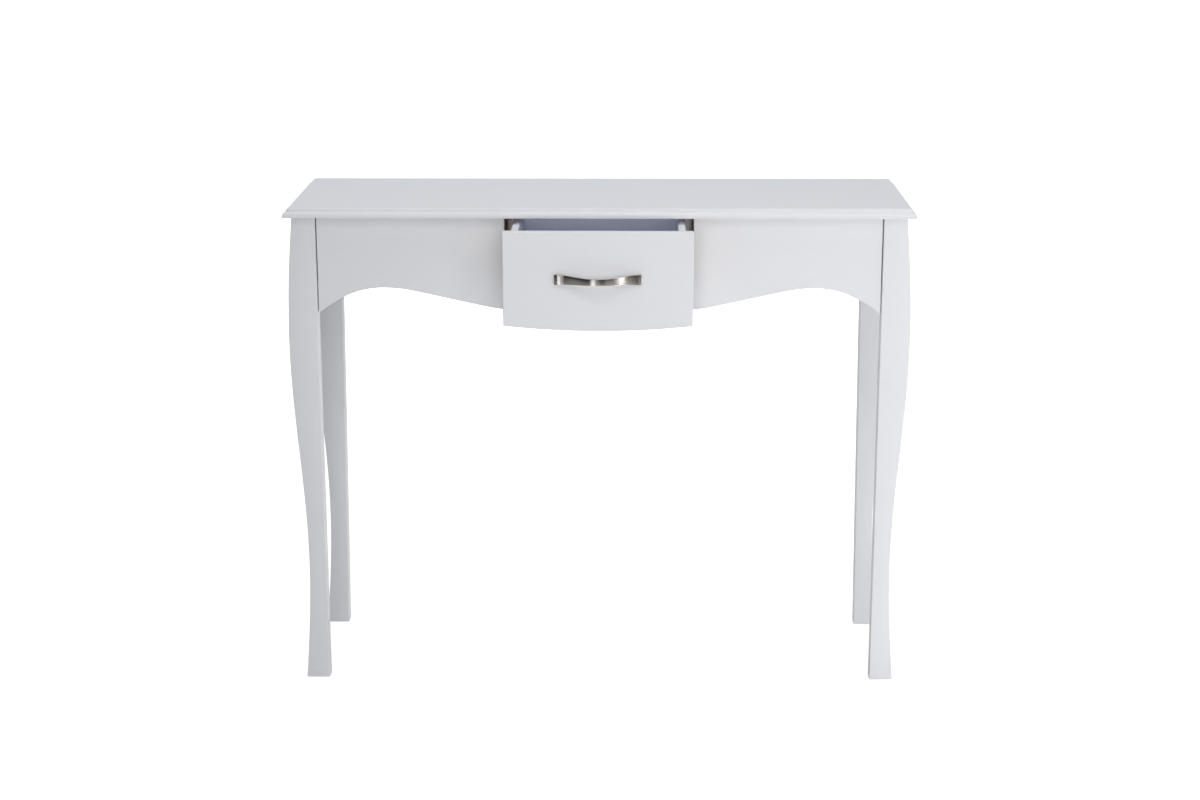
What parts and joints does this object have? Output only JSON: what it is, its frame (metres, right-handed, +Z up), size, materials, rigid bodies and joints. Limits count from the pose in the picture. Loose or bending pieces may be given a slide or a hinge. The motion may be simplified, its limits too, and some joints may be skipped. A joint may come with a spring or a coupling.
{
  "type": "writing desk",
  "caption": "White-painted console-style writing desk with a moulded top, S-curved legs, arched aprons and a central drawer with a bow handle, standing partly open.",
  "frame": {"origin": "centre of the overall box at floor level, with the drawer standing open as at rest", "axes": "+Z up, +X to the desk's right-hand end as seen from the front, -Y the way the drawer opens"},
  "size_m": [1, 0.439, 0.795],
  "materials": {
    "white_paint": "satin white paint on wood board",
    "drawer_foil": "white foil on wood board",
    "drawer_base": "thin lacquered hardboard",
    "pine": "raw pine",
    "zinc_steel": "zinc plated",
    "white_steel": "white epoxy coated sheet steel",
    "brushed_nickel": "brushed nickel",
    "nylon": "white nylon",
    "glide_plastic": "hard plastic"
  },
  "bodies": {
    "frame": {"table_top": "white_paint", "apron_back": "white_paint", "apron_front_left": "white_paint", "apron_side_left": "white_paint", "drawer_guide_left": "pine", "cabinet_runner_left": "white_steel", "front_roller_pin_left": "zinc_steel", "top_clip_end_left": "zinc_steel", "apron_front_right": "white_paint", "apron_side_right": "white_paint", "drawer_guide_right": "pine", "cabinet_runner_right": "white_steel", "front_roller_pin_right": "zinc_steel", "top_clip_end_right": "zinc_steel", "leg_front_left": "white_paint", "glide_front_left": "glide_plastic", "corner_block_front_left": "pine", "leg_bolt_front_left": "zinc_steel", "top_clip_front_left": "zinc_steel", "leg_front_right": "white_paint", "glide_front_right": "glide_plastic", "corner_block_front_right": "pine", "leg_bolt_front_right": "zinc_steel", "top_clip_front_right": "zinc_steel", "leg_back_left": "white_paint", "glide_back_left": "glide_plastic", "corner_block_back_left": "pine", "leg_bolt_back_left": "zinc_steel", "top_clip_back_left": "zinc_steel", "leg_back_right": "white_paint", "glide_back_right": "glide_plastic", "corner_block_back_right": "pine", "leg_bolt_back_right": "zinc_steel", "top_clip_back_right": "zinc_steel"},
    "drawer": {"drawer_front": "white_paint", "drawer_back": "drawer_foil", "drawer_bottom": "drawer_base", "drawer_handle": "brushed_nickel", "drawer_side_left": "drawer_foil", "drawer_runner_left": "white_steel", "rear_roller_pin_left": "zinc_steel", "handle_screw_left": "zinc_steel", "drawer_side_right": "drawer_foil", "drawer_runner_right": "white_steel", "rear_roller_pin_right": "zinc_steel", "handle_screw_right": "zinc_steel"},
    "roller_front_left": {"front_roller_left": "nylon"},
    "roller_rear_left": {"rear_roller_left": "nylon"},
    "roller_front_right": {"front_roller_right": "nylon"},
    "roller_rear_right": {"rear_roller_right": "nylon"}
  },
  "joints": [
    {"name": "drawer_slide", "type": "slide", "parent": "frame", "child": "drawer", "axis": [0, -1, 0], "range_m": [-0.117, 0.053]},
    {"name": "roller_front_left_turn", "type": "hinge", "parent": "frame", "child": "roller_front_left", "pos_m": [-0.14325, -0.0475, 0.6632], "axis": [1, 0, 0], "range_deg": [-845, 385]},
    {"name": "roller_rear_left_turn", "type": "hinge", "parent": "drawer", "child": "roller_rear_left", "pos_m": [-0.14325, 0.0318, 0.6632], "axis": [1, 0, 0], "range_deg": [-845, 385]},
    {"name": "roller_front_right_turn", "type": "hinge", "parent": "frame", "child": "roller_front_right", "pos_m": [0.14325, -0.0475, 0.6632], "axis": [1, 0, 0], "range_deg": [-845, 385]},
    {"name": "roller_rear_right_turn", "type": "hinge", "parent": "drawer", "child": "roller_rear_right", "pos_m": [0.14325, 0.0318, 0.6632], "axis": [1, 0, 0], "range_deg": [-845, 385]}
  ],
  "couplings": [
    {"joint": "roller_front_left_turn", "follows": "drawer_slide", "rad_per_m": 125},
    {"joint": "roller_rear_left_turn", "follows": "drawer_slide", "rad_per_m": 125},
    {"joint": "roller_front_right_turn", "follows": "drawer_slide", "rad_per_m": 125},
    {"joint": "roller_rear_right_turn", "follows": "drawer_slide", "rad_per_m": 125}
  ]
}
